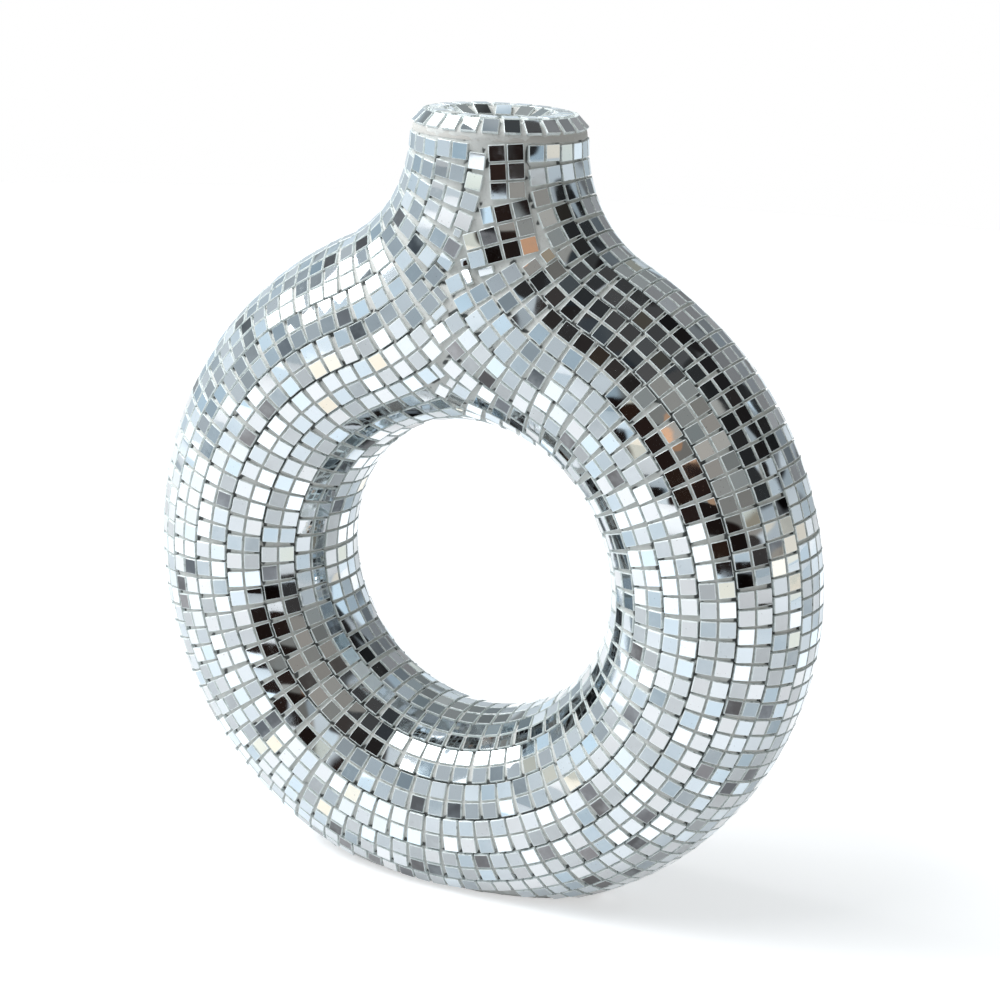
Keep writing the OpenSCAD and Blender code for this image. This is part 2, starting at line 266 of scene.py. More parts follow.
class Graph:
    """A node tree that is emptied and then filled by Python expressions."""

    def __init__(self, tree):
        self.tree = tree
        tree.nodes.clear()

    def add(self, kind, settings=None, inputs=None):
        """Adds a node. Its settings come first, then the values or links of its sockets."""
        node = self.tree.nodes.new(kind)
        for name, value in (settings or {}).items():
            setattr(node, name, value)
        for name, value in (inputs or {}).items():
            socket = node.inputs[name]
            if isinstance(value, Field):
                self.tree.links.new(value.socket, socket)
            else:
                socket.default_value = value
        return Outputs(self, node)

    def place(self):
        """Object coordinates, in metres."""
        return self.add("ShaderNodeTexCoord")["Object"]

    def noise(self, scale, detail=2.0, roughness=0.5):
        """Soft noise at so many waves a metre, from 0 to 1."""
        inputs = {"Vector": self.place(), "Scale": scale, "Detail": detail, "Roughness": roughness}
        return self.add("ShaderNodeTexNoise", None, inputs)["Fac"]

    def smooth(self, value, low, high):
        """0 where value is at low, 1 where it is at high, with a soft step between."""
        inputs = {"Value": value, "From Min": low, "From Max": high}
        settings = {"interpolation_type": "SMOOTHSTEP"}
        return self.add("ShaderNodeMapRange", settings, inputs)["Result"]

    def mix(self, factor, first, second):
        """A blend of two colours, the second where the factor is 1."""
        inputs = {0: factor, 6: first, 7: second}
        return self.add("ShaderNodeMix", {"data_type": "RGBA"}, inputs)[2]

    def dot(self, first, second):
        """How far one vector reaches along another."""
        settings = {"operation": "DOT_PRODUCT"}
        return self.add("ShaderNodeVectorMath", settings, {0: first, 1: second})["Value"]

    def bump(self, height, strength, depth):
        """A normal that leans with the height, where a height of 1 is so many mm."""
        inputs = {"Height": height, "Strength": strength, "Distance": depth * MM}
        return self.add("ShaderNodeBump", None, inputs)["Normal"]


def rgba(colour, scale=1.0):
    """A colour with full alpha, from three numbers."""
    return tuple(scale * c for c in tuple(colour)[:3]) + (1.0,)


def over(span, pattern):
    """The least value of a span, with the rest of it added as the pattern goes from 0 to 1."""
    least, more = span
    return least + more * pattern


def new_material(name):
    """An empty node material of that name, and its graph."""
    material = bpy.data.materials.new(name)
    material.use_nodes = True
    return material, Graph(material.node_tree)


def close_material(graph, inputs):
    """Ends a material in one Principled shader."""
    shader = graph.add("ShaderNodeBsdfPrincipled", None, inputs)
    graph.add("ShaderNodeOutputMaterial", None, {"Surface": shader["BSDF"]})


def mirror_material(look):
    """Silvered glass. Each tile has its own painted reflection over the silver, and smudges and
    ripples run over all.
    """
    material, g = new_material("silvered_mirror")
    # Each tile's painted reflection, which stands in for the room that the mirror reflects
    painted_reflection = g.add("ShaderNodeAttribute", {"attribute_name": "tile_tone"})["Color"]
    corner = g.add("ShaderNodeUVMap", {"uv_map": "tile"})["UV"]
    uv = g.add("ShaderNodeSeparateXYZ", None, {"Vector": corner})
    margin = (0.5 - abs(uv["X"] - 0.5)).least(0.5 - abs(uv["Y"] - 0.5))
    worn = g.noise(RIM_WAVES, 3.0, 0.6)
    rim = 1 - g.smooth(margin + (worn - 0.5) * RIM_WEAR, *RIM_STEP)
    smudge = g.smooth(g.noise(SMUDGE_WAVES, 4.0, 0.62), *SMUDGE_STEP)
    specks = g.smooth(g.noise(SPECK_WAVES, 1.0), *SPECK_STEP)
    # The silver with its painted reflection, then worn rim, haze and specks over it
    silver = g.mix(rim * RIM_SHARE, painted_reflection, rgba(look.edge_colour))
    silver = g.mix(smudge * SMUDGE_SHARE, silver, rgba(look.haze_colour))
    silver = g.mix(specks * SPECK_SHARE, silver, rgba(SPECK_COLOUR))
    rough = look.roughness + smudge * SMUDGE_ROUGHNESS + rim * RIM_ROUGHNESS
    rough = rough + specks * SPECK_ROUGHNESS
    lean = g.add("ShaderNodeAttribute", {"attribute_name": "tile_lean"})["Vector"]
    lean = g.add("ShaderNodeSeparateXYZ", None, {"Vector": lean})
    u, v = uv["X"] - 0.5, uv["Y"] - 0.5
    slope = (u * lean["X"] + v * lean["Y"]) * look.lean
    bow = (u * u + v * v) * lean["Z"] * look.bow
    height = g.noise(RIPPLE_WAVES, 1.5) * look.ripple + slope + bow
    inputs = {
        "Base Color": silver,
        "Metallic": 1.0,
        "Roughness": rough,
        "Normal": g.bump(height, *MIRROR_BUMP),
    }
    close_material(g, inputs)
    return material


def edge_material(look):
    """The ground edge of the glass, pale and a little rough."""
    material, g = new_material("ground_glass_edge")
    grain = g.noise(GLASS_GRAIN_WAVES, 2.0)
    chips = g.smooth(g.noise(CHIP_WAVES, 3.0, 0.7), *CHIP_STEP)
    colour = g.mix(chips * CHIP_SHARE, rgba(look.edge_colour), rgba(look.edge_shade))
    inputs = {
        "Base Color": colour,
        "Roughness": over(EDGE_ROUGHNESS, grain),
        "Coat Weight": over(EDGE_COAT, grain),
        "Normal": g.bump(grain, *EDGE_BUMP),
    }
    close_material(g, inputs)
    return material


def grout_material(look):
    """Fine grout, pale inside a strip, with painted shade in its pits and in the deep gap between
    two strips.
    """
    material, g = new_material("fine_grout")
    gap = g.add("ShaderNodeAttribute", {"attribute_name": "strip_gap"})["Fac"]
    sand = g.noise(SAND_WAVES, 3.0, 0.65)
    stain = g.smooth(g.noise(STAIN_WAVES, 4.0, 0.6), *STAIN_STEP)
    sand_pit_shade = g.smooth(sand, *SAND_STEP)
    pale = g.mix(stain * STAIN_SHARE, rgba(look.colour), rgba(look.stain))
    # Painted shade in the pits between the grains of sand, the stain colour darkened
    pale = g.mix(sand_pit_shade * SAND_PIT_SHADE_SHARE, pale, rgba(look.stain, SHADE))
    # Painted shade in the deep gap between two strips, laid on the grout nearly black
    dark = g.smooth(gap + (g.noise(GAP_WAVES, 2.0) - 0.5) * GAP_WEAR, *GAP_STEP)
    inputs = {
        "Base Color": g.mix(dark * look.gap_shade_strength, pale, rgba(look.gap_shade_colour)),
        "Roughness": over(GROUT_ROUGHNESS, sand),
        "Normal": g.bump(sand, *GROUT_BUMP),
    }
    close_material(g, inputs)
    return material


def shell_material():
    """The moulded body under the mosaic, matte and faintly pitted."""
    material, g = new_material("moulded_body")
    pits = g.smooth(g.noise(PIT_WAVES, 2.0), *PIT_STEP)
    cloud = g.noise(CLOUD_WAVES, 3.0)
    inputs = {
        "Base Color": g.mix(cloud, *(rgba(colour) for colour in BODY_COLOURS)),
        "Roughness": over(BODY_ROUGHNESS, cloud),
        "Normal": g.bump(pits, *BODY_BUMP),
    }
    close_material(g, inputs)
    return material


def felt_material(look):
    """Pressed felt, a mat of short fibres, with painted shade between them."""
    material, g = new_material("pressed_felt")
    fibres = g.noise(FIBRE_WAVES, 6.0, 0.75)
    tufts = g.noise(TUFT_WAVES, 3.0, 0.6)
    # Painted shade in the pits between the fibres and tufts
    shade = g.smooth(fibres * 0.6 + tufts * 0.4, *FELT_STEP)
    inputs = {
        "Base Color": g.mix(shade, rgba(look.colour, SHADE), rgba(look.colour)),
        "Roughness": over(FELT_ROUGHNESS, fibres),
        "Normal": g.bump(fibres, *FELT_BUMP),
    }
    close_material(g, inputs)
    return material


def clamp(value):
    """The value, kept from 0 to 1."""
    return min(max(value, 0), 1)


def fade(value, start, length):
    """1 up to the start, and down to 0 over the length past it."""
    return 1 - clamp((value - start) / length)


def deselect_all():
    """Leaves nothing selected."""
    for thing in bpy.context.view_layer.objects.selected[:]:
        thing.select_set(False)


def only(thing):
    """Makes this the one selected and active object."""
    deselect_all()
    thing.select_set(True)
    bpy.context.view_layer.objects.active = thing


def merged_copy(node, name):
    """A copy of a CAD node with its own mesh, its loose triangles joined up."""
    copy = frame["nodes"][node].copy()
    copy.data = copy.data.copy()
    copy.name = copy.data.name = name
    copy.parent = None
    copy.matrix_world = Matrix.Identity(4)
    for key in list(copy.keys()):
        del copy[key]
    bpy.context.scene.collection.objects.link(copy)
    copy.data.materials.clear()
    only(copy)
    bpy.ops.object.mode_set(mode="EDIT")
    bpy.ops.mesh.select_all(action="SELECT")
    bpy.ops.mesh.remove_doubles(threshold=MERGE * MM)
    bpy.ops.mesh.customdata_custom_splitnormals_clear()
    bpy.ops.object.mode_set(mode="OBJECT")
    return copy


def apply_modifier(thing, kind, **settings):
    """Adds a modifier and applies it at once."""
    only(thing)
    modifier = thing.modifiers.new(kind.lower(), kind)
    for name, value in settings.items():
        setattr(modifier, name, value)
    bpy.ops.object.modifier_apply(modifier=modifier.name)


def islands(mesh):
    """For each vertex, the number of the separate lump that it belongs to."""
    parent = list(range(len(mesh.vertices)))

    def root(i):
        while parent[i] != i:
            parent[i] = parent[parent[i]]
            i = parent[i]
        return i

    for edge in mesh.edges:
        a, b = root(edge.vertices[0]), root(edge.vertices[1])
        if a != b:
            parent[max(a, b)] = min(a, b)
    roots = [root(i) for i in range(len(parent))]
    order = {r: k for k, r in enumerate(sorted(set(roots)))}
    return np.array([order[r] for r in roots])


def points(mesh):
    """The vertices of a mesh as rows of x, y and z."""
    flat = np.empty(3 * len(mesh.vertices))
    mesh.vertices.foreach_get("co", flat)
    return flat.reshape(-1, 3)


def tile_painted_reflections(centres, seed, look):
    """A colour for each tile, a painted reflection on the silver: mostly plain silver, some with a
    painted white, grey, dark or warm reflection, all partly with a painted blue one.
    """
    # The dark, grey, white, warm and blue colours are painted reflections, since real mirror tiles
    # are all alike
    draws = np.random.RandomState(seed).rand(len(centres), 4)
    painted_reflections = []
    for centre, (pick, level, sky_draw, _) in zip(centres, draws):
        drift = noise.noise(Vector(centre) * REFLECTION_WAVES) * REFLECTION_DRIFT
        pick = clamp(pick + drift)
        if pick < look.dark_reflection_share:
            painted_reflection = DARK_REFLECTION
        elif pick < look.dark_reflection_share + look.grey_reflection_share:
            painted_reflection = GREY_REFLECTION
        elif pick > 1 - look.warm_reflection_share:
            painted_reflection = WARM_REFLECTION
        elif pick > 1 - look.warm_reflection_share - look.white_reflection_share:
            painted_reflection = WHITE_REFLECTION
        else:
            painted_reflection, level = SILVER_AND_REFLECTION, math.sqrt(level)
        (red, green, blue), least, more = painted_reflection
        sky_reflection = look.blue_reflection_share * sky_draw * sky_draw
        colour = (red * (1 - RED_LOSS * sky_reflection), green * (1 - GREEN_LOSS * sky_reflection), blue)
        painted_reflections.append(rgba(colour, least + more * level))
    return np.array(painted_reflections)


def dress_tiles(node, seed, look):
    """Bevelled mirror tiles in the places of a CAD node's tiles, each with its own painted
    reflection.
    """
    tiles = merged_copy(node, f"mirror_{node}")
    finish_tiles(tiles, seed, look)
    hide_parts(node)


def finish_tiles(tiles, seed, look):
    """Gives plain blocks of glass their bevel, their silver and a painted reflection and a lean
    each.
    """
    tiles.data.materials.append(bpy.data.materials["silvered_mirror"])
    tiles.data.materials.append(bpy.data.materials["ground_glass_edge"])
    only(tiles)
    bpy.ops.object.mode_set(mode="EDIT")
    bpy.ops.mesh.select_all(action="SELECT")
    bpy.ops.mesh.tris_convert_to_quads()
    tiles.data.uv_layers.new(name="tile")
    bpy.ops.uv.reset()
    bpy.ops.object.mode_set(mode="OBJECT")
    mesh = tiles.data
    mesh.uv_layers[0].name = "tile"
    lump = islands(mesh)
    flat_area = {}
    for face in mesh.polygons:
        owner = lump[face.vertices[0]]
        flat_area[owner] = max(flat_area.get(owner, 0), face.area)
    for face in mesh.polygons:
        face.use_smooth = False
        is_flat = face.area > FLAT_SHARE * flat_area[lump[face.vertices[0]]]
        face.material_index = SILVER if is_flat else GROUND
    apply_modifier(
        tiles,
        "BEVEL",
        width=look.bevel * MM,
        segments=1,
        limit_method="ANGLE",
        angle_limit=TILE_EDGE,
        material=GROUND,
    )
    lump = islands(mesh)
    spots = points(mesh)
    count = lump.max() + 1
    centres = np.array([spots[lump == k].mean(0) for k in range(count)])
    painted_reflections = tile_painted_reflections(centres, seed, look)
    attribute = mesh.attributes.new("tile_tone", "FLOAT_COLOR", "POINT")
    attribute.data.foreach_set("color", painted_reflections[lump].astype(np.float32).ravel())
    leans = np.random.RandomState(seed + LEAN_SEED).uniform(-1, 1, (count, 3))
    attribute = mesh.attributes.new("tile_lean", "FLOAT_VECTOR", "POINT")
    attribute.data.foreach_set("vector", leans[lump].astype(np.float32).ravel())
    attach(tiles, "root")


def body_skin():
    """The body's surface, both halves, for finding the nearest point on it."""
    spots, faces = [], []
    for name in SHELLS:
        mesh = frame["nodes"][name].data
        first = len(spots)
        spots += [v.co.copy() for v in mesh.vertices]
        faces += [[first + v for v in f.vertices] for f in mesh.polygons]
    return BVHTree.FromPolygons(spots, faces)


def tile_tops(skin, names):
    """For each tile its band's number, its outer face's middle and normal, and a side's way."""
    tops = []
    for k, name in enumerate(names):
        tiles = bpy.data.objects[name].data
        lump = islands(tiles)
        best = {}
        for face in tiles.polygons:
            if face.material_index == SILVER:
                key = lump[face.vertices[0]]
                away = skin.find_nearest(face.center)[3]
                if key not in best or away > best[key][0]:
                    a, b = (tiles.vertices[v].co for v in face.vertices[:2])
                    side = (b - a).normalized()
                    best[key] = (away, face.center.copy(), face.normal.copy(), side)
        tops += [(k, spot, normal, side) for _, spot, normal, side in best.values()]
    return tops


def tree_of(tops):
    """A tree of the tiles' middles, for finding the nearest ones."""
    tree = kdtree.KDTree(len(tops))
    for k, top in enumerate(tops):
        tree.insert(top[1], k)
    tree.balance()
    return tree


def corners(spot, side, across, half_along, half_across):
    """The four corners of a rectangle."""
    signs = ((-1, -1), (1, -1), (1, 1), (-1, 1))
    return [spot + i * half_along * side + j * half_across * across for i, j in signs]


def overlap(first, second):
    """Whether two flat convex shapes overlap."""
    for shape in (first, second):
        for (ax, ay), (bx, by) in zip(shape, shape[1:] + shape[:1]):
            nx, ny = by - ay, ax - bx
            mine = [nx * x + ny * y for x, y in first]
            other = [nx * x + ny * y for x, y in second]
            if max(mine) <= min(other) or max(other) <= min(mine):
                return False
    return True


def bare_spots(skin, tree, tops, look):
    """Points over the body with no tile near, the ones closest to a tile first."""
    found = []
    least_away = look.smallest / 2 + look.joint + HALF_TILE
    reach = int(look.reach / look.step)
    heights = range(int(look.low / look.step), int(look.high / look.step) + 1)
    for face in (-1, 1):
        for i in range(-reach, reach + 1):
            for j in heights:
                start = Vector((i * look.step, CAST_FROM * face, j * look.step)) * MM
                spot, normal, _, _ = skin.ray_cast(start, Vector((0, -face, 0)))
                if spot is None or normal.y * face < LEAST_FACING:
                    continue
                near = [k for _, k, _ in tree.find_n(spot, HEIGHT_TILES)]
                height = sum(skin.find_nearest(tops[k][1])[3] for k in near) / len(near)
                spot = spot + height * normal
                away = tree.find(spot)[2] / MM
                if away > least_away:
                    found.append((away, spot, normal, near))
    return sorted(found, key=lambda item: item[0])


def cut_pieces(skin, look):
    """Places for pieces of cut glass in the bare spots, the largest that fit coming first."""
    tops = tile_tops(skin, mirror_names())
    tree = tree_of(tops)
    spots = bare_spots(skin, tree, tops, look)
    sizes = (look.largest, (look.largest + look.smallest) / 2, look.smallest)
    laid = []
    for long in sizes:
        for short in [size for size in sizes if size <= long]:
            for _, spot, normal, near in spots:
                others = neighbours(spot, look, tree, tops, laid)
                for side, across in ways(normal, near[:WAY_TILES], tops):
                    if is_free(spot, side, across, long, short, look, others):
                        laid.append((spot, normal, side, across, long * MM, short * MM))
                        break
    return laid


def ways(normal, near, tops):
    """Directions for a cut piece: along or across the nearest tiles."""
    found = []
    for k in near:
        side = tops[k][3]
        side = (side - side.dot(normal) * normal).normalized()
        found += [(side, normal.cross(side)), (normal.cross(side), -side)]
    return found


def neighbours(spot, look, tree, tops, laid):
    """The front and back outlines of the tiles and cut pieces round a spot."""
    found = []
    half = look.largest / 2 * MM
    for _, k, _ in tree.find_range(spot, CUT_REACH * MM):
        _, middle, up, way = tops[k]
        found.append((middle, up, way, up.cross(way), half, half))
    for middle, up, way, beside, long, short in laid:
        if (middle - spot).length < CUT_REACH * MM:
            found.append((middle, up, way, beside, long / 2, short / 2))
    return [
        corners(middle - depth * up, way, beside, a, b)
        for middle, up, way, beside, a, b in found
        for depth in (0, look.thickness * MM)
    ]


def is_free(spot, side, across, long, short, look, others):
    """Whether a cut piece and the joint round it lie clear of all the others."""
    a, b = ((size / 2 + look.joint) * MM for size in (long, short))
    mine = [(-a, -b), (a, -b), (a, b), (-a, b)]
    for other in others:
        flat = [((c - spot).dot(side), (c - spot).dot(across)) for c in other]
        if overlap(mine, flat):
            return False
    return True


def mirror_names():
    """The names of all the dressed tiles."""
    return [f"mirror_{name}" for name in BANDS + NECK_STRIPS + MOUTH_ROWS]


def joined_body(name):
    """Both halves of the body as one closed skin, without the faces where they are bonded."""
    halves = [merged_copy(node, f"half_{node}") for node in SHELLS]
    only(halves[0])
    for half in halves:
        half.select_set(True)
    bpy.ops.object.join()
    body = halves[0]
    body.name = body.data.name = name
    bpy.ops.object.mode_set(mode="EDIT")
    bpy.ops.mesh.select_all(action="DESELECT")
    bpy.ops.object.mode_set(mode="OBJECT")
    bonded = np.abs(points(body.data)[:, 1]) < MIDDLE_PLANE * MM
    for face in body.data.polygons:
        face.select = bool(bonded[list(face.vertices)].all())
    bpy.ops.object.mode_set(mode="EDIT")
    bpy.ops.mesh.select_mode(type="FACE")
    bpy.ops.mesh.delete(type="FACE")
    bpy.ops.mesh.select_all(action="SELECT")
    bpy.ops.mesh.remove_doubles(threshold=SEAM_MERGE * MM)
    bpy.ops.object.mode_set(mode="OBJECT")
    return body


def mark_joints(grout, look):
    """Marks where a gap between two strips runs, for its painted shade, and how far the grout may
    rise.
    """
    tops = tile_tops(body_skin(), [*mirror_names(), CUTS])
    tree = tree_of(tops)
    gap = []
    rise = grout.vertex_groups.new(name="rise")
    for vertex in grout.data.vertices:
        near = []
        for spot, j, distance in tree.find_n(vertex.co, NEAR_TILES):
            below = (spot - vertex.co).dot(tops[j][2])
            aside = math.sqrt(max(distance * distance - below * below, 0))
            near.append((aside / MM, below / MM, tops[j][0], j))
        near.sort()
        nearest, _, strip, tile = near[0]
        others = [aside for aside, _, owner, _ in near if owner != strip]
        slack = min(others) - nearest if others else NO_OTHER_STRIP
        away = min(others) if others else NO_OTHER_STRIP
        beside = fade(slack, GAP_SLACK, GAP_SLACK_FADE) * fade(away, GAP_REACH, GAP_REACH_FADE)
        if strip >= len(BANDS):
            beside = 0
        gap.append(beside)
        room = min(below for _, below, _, _ in near[:UNDER_TILES]) - look.depth
        share = clamp(room / look.rise) * (1 - look.groove * beside)
        faces_inwards = vertex.normal.dot(tops[tile][2]) < 0
        if faces_inwards:
            share = 0
        rise.add([vertex.index], share, "REPLACE")
    attribute = grout.data.attributes.new("strip_gap", "FLOAT", "POINT")
    attribute.data.foreach_set("value", gap)


# What the camera and the lamps look at, in metres, the picture's shift as a share of its
# width, the sensor in mm, and the floor in metres, with the brightness of its darkest cloud
AIM = (0, 0, 0.07393)
SHIFT = (0.01848, 0.00879)
SENSOR_WIDTH = 36
CLIP_START = 0.01
FLOOR_RADIUS = 0.95
FLOOR_CORNERS = 96
FLOOR_ROUGHNESS = 0.85
FLOOR_SHADE = 0.985

# Lamps: azimuth and height in degrees, distance and size in metres, and the setting for power
LAMPS = (
    ("key_lamp", -74, 44, 0.9, 0.5, "key"),
    ("fill_lamp", -36, 56, 1.0, 0.4, "fill"),
)

# The walls' brightness at the bottom and the top, the sines of the heights between which it
# changes, and those between which the open top gives way to the walls
WALL_LEVELS = (1.12, 0.75)
WALL_FADE = (-0.1, 0.9)
OPEN_TOP = (0.98, 0.93)

# The soft edge of a thing round the studio, from outside to inside, and how far ahead it lies
SOFT_EDGE = (1.25, 0.8)
LEAST_AHEAD = 0.05

# What stands round the studio, as seen from the vase: azimuth from the front towards the
# right, height over level, width and height, all in degrees, then colour and brightness
SURROUNDINGS = (
    ("wall_right", 42, 30, 74, 56, (0.30, 0.285, 0.26), 1.0),
    ("dark_table", 44, -2, 56, 15, (0.045, 0.04, 0.038), 1.0),
    ("doorway", 18, 1, 58, 21, (0.020, 0.012, 0.010), 1.0),
    ("oak_shelf", 23, 15, 9, 8, (0.62, 0.36, 0.22), 1.0),
    ("curtain_front", 6, 42, 26, 28, (0.035, 0.03, 0.028), 1.0),
    ("beam_front", 20, 61, 46, 20, (0.035, 0.04, 0.045), 1.0),
    ("beam_right", 74, 68, 56, 22, (0.06, 0.06, 0.06), 1.0),
    ("curtain_1", 89, 38, 17, 46, (0.022, 0.022, 0.022), 1.0),
    ("curtain_2", 112, 36, 16, 54, (0.016, 0.014, 0.014), 1.0),
    ("curtain_3", 132, 36, 15, 46, (0.022, 0.022, 0.022), 1.0),
    ("wall_back", 166, 30, 46, 54, (0.24, 0.245, 0.25), 1.0),
    ("wall_left", -150, 42, 66, 44, (0.26, 0.28, 0.28), 1.0),
    ("window_left", -76, 46, 36, 26, (1.0, 1.0, 1.0), 2.2),
    ("window_high", -34, 56, 28, 16, (0.88, 0.95, 1.0), 1.2),
    ("warm_table", 104, 2, 46, 12, (0.92, 0.87, 0.76), 1.0),
)


def facing(azimuth, height):
    """A direction, from its azimuth and height over level in degrees."""
    a, h = math.radians(azimuth), math.radians(height)
    return Vector((math.sin(a) * math.cos(h), -math.cos(a) * math.cos(h), math.sin(h)))


def studio_world(look):
    """A white backdrop, which the mirrors show too between the walls and things of a studio."""
    world = bpy.data.worlds.new("studio")
    world.use_nodes = True
    g = Graph(world.node_tree)
    way = g.add("ShaderNodeTexCoord")["Generated"]
    height = g.add("ShaderNodeSeparateXYZ", None, {"Vector": way})["Z"]
    unseen = 1 - g.add("ShaderNodeLightPath")["Is Camera Ray"]
    backdrop = g.mix(backdrop_seen(g), rgba(look.daylight), WHITE)
    bottom, top = (rgba(look.room, level) for level in WALL_LEVELS)
    walls = g.mix(g.smooth(height, *WALL_FADE), bottom, top)
    room = g.mix(unseen * g.smooth(height, *OPEN_TOP), backdrop, walls)
    for _, azimuth, rise, width, tall, colour, level in SURROUNDINGS:
        ahead = facing(azimuth, rise)
        across = Vector((0, 0, 1)).cross(ahead).normalized()
        upward = ahead.cross(across)
        front = g.dot(way, tuple(ahead))
        x = g.dot(way, tuple(across)) / (front * math.tan(math.radians(width / 2)))
        y = g.dot(way, tuple(upward)) / (front * math.tan(math.radians(tall / 2)))
        shape = g.smooth(abs(x) ** 4 + abs(y) ** 4, *SOFT_EDGE) * (front > LEAST_AHEAD)
        room = g.mix(shape * unseen, room, rgba(colour, level * look.glow))
    whole = g.add("ShaderNodeBackground", None, {"Color": room, "Strength": 1.0})
    g.add("ShaderNodeOutputWorld", None, {"Surface": whole["Background"]})
    return world


def backdrop_seen(g):
    """1 for the rays that see the white backdrop: the camera's, and those off metal and glass."""
    light = g.add("ShaderNodeLightPath")
    rays = light["Is Camera Ray"] + light["Is Glossy Ray"] + light["Is Transmission Ray"]
    return rays.least(1)


def floor_material(look):
    """A pale matte floor, lifted to white where no shadow falls."""
    material, g = new_material("pale_floor")
    cloud = g.noise(FLOOR_WAVES, 3.0)
    inputs = {
        "Base Color": g.mix(cloud, rgba(look.floor), rgba(look.floor, FLOOR_SHADE)),
        "Roughness": FLOOR_ROUGHNESS,
    }
    shader = g.add("ShaderNodeBsdfPrincipled", None, inputs)
    lift = g.add("ShaderNodeEmission", None, {"Color": WHITE, "Strength": look.lift})
    nothing = g.add("ShaderNodeEmission", None, {"Color": BLACK, "Strength": 0.0})
    inputs = {0: backdrop_seen(g), 1: nothing["Emission"], 2: lift["Emission"]}
    glow = g.add("ShaderNodeMixShader", None, inputs)
    whole = g.add("ShaderNodeAddShader", None, {0: shader["BSDF"], 1: glow["Shader"]})
    g.add("ShaderNodeOutputMaterial", None, {"Surface": whole["Shader"]})
    return material


def add_lamp(name, azimuth, rise, distance, size, power, target):
    """A square soft lamp that faces the vase."""
    deselect_all()
    ahead = facing(azimuth, rise)
    bpy.ops.object.light_add(type="AREA", location=target + ahead * distance)
    lamp = bpy.context.active_object
    lamp.name = name
    lamp.rotation_euler = ahead.to_track_quat("Z", "Y").to_euler()
    lamp.data.shape = "SQUARE"
    lamp.data.size = size
    lamp.data.energy = power


class VaseTileSettings(bpy.types.PropertyGroup):
    """Sizes and colours of the mirror tiles, and the shares of their painted reflections"""

    bevel: FloatProperty(
        name="Bevel",
        description="Width of a tile's ground edge, in mm",
        default=0.11,
        min=0.02,
        max=0.3,
    )
    roughness: FloatProperty(
        name="Roughness",
        description="Roughness of clean mirror",
        default=0.035,
        min=0.0,
        max=0.5,
        subtype="FACTOR",
    )
    ripple: FloatProperty(
        name="Ripple",
        description="Height of the ripples in the glass, in mm",
        default=0.035,
        min=0.0,
        max=0.3,
    )
    lean: FloatProperty(
        name="Lean",
        description="Most that a tile leans across its width, in mm",
        default=0.16,
        min=0.0,
        max=0.5,
    )
    bow: FloatProperty(
        name="Bow",
        description="How much a tile bows, in mm",
        default=0.14,
        min=0.0,
        max=0.5,
    )
    # Shares of the tiles' painted reflections: dark, grey, warm and white, and how blue the
    # painted blue reflections are
    dark_reflection_share: FloatProperty(
        name="Dark",
        description="Share of dark tiles",
        default=0.06,
        min=0.0,
        max=1.0,
        subtype="FACTOR",
    )
    grey_reflection_share: FloatProperty(
        name="Grey",
        description="Share of grey tiles",
        default=0.25,
        min=0.0,
        max=1.0,
        subtype="FACTOR",
    )
    warm_reflection_share: FloatProperty(
        name="Warm",
        description="Share of warm tiles",
        default=0.02,
        min=0.0,
        max=1.0,
        subtype="FACTOR",
    )
    white_reflection_share: FloatProperty(
        name="White",
        description="Share of the brightest tiles",
        default=0.17,
        min=0.0,
        max=1.0,
        subtype="FACTOR",
    )
    blue_reflection_share: FloatProperty(
        name="Blue",
        description="How blue the bluest tiles are",
        default=0.45,
        min=0.0,
        max=1.0,
        subtype="FACTOR",
    )
    edge_colour: FloatVectorProperty(
        name="Edge",
        description="Colour of a ground edge",
        default=(0.78, 0.84, 0.84),
        size=3,
        subtype="COLOR",
    )
    edge_shade: FloatVectorProperty(
        name="Edge shade",
        description="Colour of the deeper spots of an edge",
        default=(0.2, 0.25, 0.25),
        size=3,
        subtype="COLOR",
    )
    haze_colour: FloatVectorProperty(
        name="Haze",
        description="Colour of a smudge on the glass",
        default=(0.6, 0.64, 0.66),
        size=3,
        subtype="COLOR",
    )


class VaseGroutSettings(bpy.types.PropertyGroup):
    """Shape and colours of the grout"""

    rise: FloatProperty(
        name="Rise",
        description="How far the grout stands over the body, in mm",
        default=0.85,
        min=0.1,
        max=1.1,
    )
    depth: FloatProperty(
        name="Depth",
        description="Least depth of the grout under the tiles' faces, in mm",
        default=0.4,
        min=0.0,
        max=1.0,
    )
    groove: FloatProperty(
        name="Groove",
        description="How much deeper the gaps between strips are",
        default=0.4,
        min=0.0,
        max=1.0,
        subtype="FACTOR",
    )
    cell: FloatProperty(
        name="Cell",
        description="Size of the grout's mesh, in mm",
        default=1.0,
        min=0.6,
        max=3.0,
    )
    colour: FloatVectorProperty(
        name="Grout",
        description="Colour of the grout",
        default=(0.66, 0.67, 0.65),
        size=3,
        subtype="COLOR",
    )
    stain: FloatVectorProperty(
        name="Stain",
        description="Colour of the grout's stains",
        default=(0.4, 0.4, 0.38),
        size=3,
        subtype="COLOR",
    )
    # Painted shade in the deep gap between two strips: its colour and how far it covers the grout
    gap_shade_colour: FloatVectorProperty(
        name="Gap",
        description="Colour deep between two strips",
        default=(0.03, 0.035, 0.035),
        size=3,
        subtype="COLOR",
    )
    gap_shade_strength: FloatProperty(
        name="Gap depth",
        description="How dark the gaps between strips are",
        default=0.9,
        min=0.0,
        max=1.0,
        subtype="FACTOR",
    )


